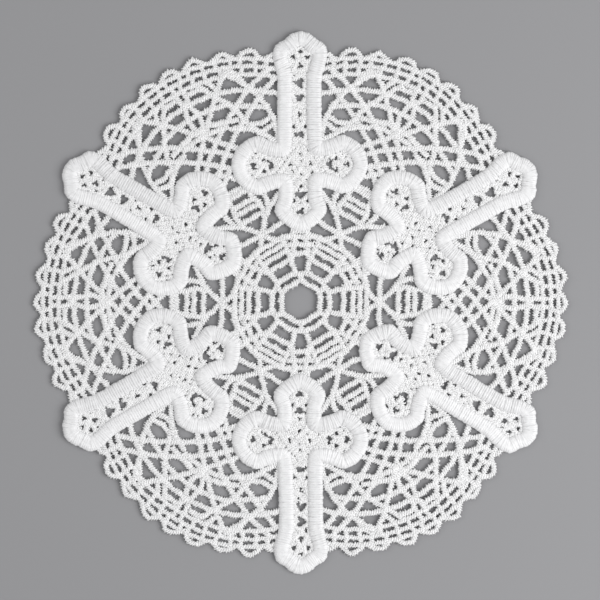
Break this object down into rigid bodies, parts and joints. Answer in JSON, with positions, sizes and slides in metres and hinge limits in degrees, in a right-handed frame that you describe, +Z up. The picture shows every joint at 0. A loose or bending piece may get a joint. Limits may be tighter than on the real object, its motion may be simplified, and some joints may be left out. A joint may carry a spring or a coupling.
{
  "type": "lace doily",
  "caption": "Flat round white lace doily: crosses with raised satin borders joined by a mesh of whipped cords, with a picot rim and an open hexagonal centre.",
  "frame": {"origin": "centre of the underside, on the surface that the doily lies on", "axes": "+Z up out of the doily's face, +Y from the centre to the foot tip of cross 1, +X to its right"},
  "size_m": [0.1282, 0.13, 0.0014],
  "materials": {
    "satin_thread": "white embroidery thread laid side by side, soft sheen",
    "underlay_thread": "white embroidery thread, dull",
    "filling_thread": "white embroidery thread, soft sheen",
    "rim_thread": "white embroidery thread, soft sheen",
    "mesh_thread": "white embroidery thread, soft sheen"
  },
  "bodies": {
    "root": {"centre_ring": "mesh_thread", "centre_web": "mesh_thread", "cross_border_1": "satin_thread", "cross_border_2": "satin_thread", "cross_border_3": "satin_thread", "cross_border_4": "satin_thread", "cross_border_5": "satin_thread", "cross_border_6": "satin_thread", "cross_filling_1": "filling_thread", "cross_filling_2": "filling_thread", "cross_filling_3": "filling_thread", "cross_filling_4": "filling_thread", "cross_filling_5": "filling_thread", "cross_filling_6": "filling_thread", "cross_underlay_1": "underlay_thread", "cross_underlay_2": "underlay_thread", "cross_underlay_3": "underlay_thread", "cross_underlay_4": "underlay_thread", "cross_underlay_5": "underlay_thread", "cross_underlay_6": "underlay_thread", "ground_1": "mesh_thread", "ground_2": "mesh_thread", "ground_3": "mesh_thread", "ground_4": "mesh_thread", "ground_5": "mesh_thread", "ground_6": "mesh_thread", "head_web_1": "mesh_thread", "head_web_2": "mesh_thread", "head_web_3": "mesh_thread", "head_web_4": "mesh_thread", "head_web_5": "mesh_thread", "head_web_6": "mesh_thread", "picots_1": "rim_thread", "picots_2": "rim_thread", "picots_3": "rim_thread", "picots_4": "rim_thread", "picots_5": "rim_thread", "picots_6": "rim_thread", "rim_1": "rim_thread", "rim_2": "rim_thread", "rim_3": "rim_thread", "rim_4": "rim_thread", "rim_5": "rim_thread", "rim_6": "rim_thread"}
  },
  "joints": []
}
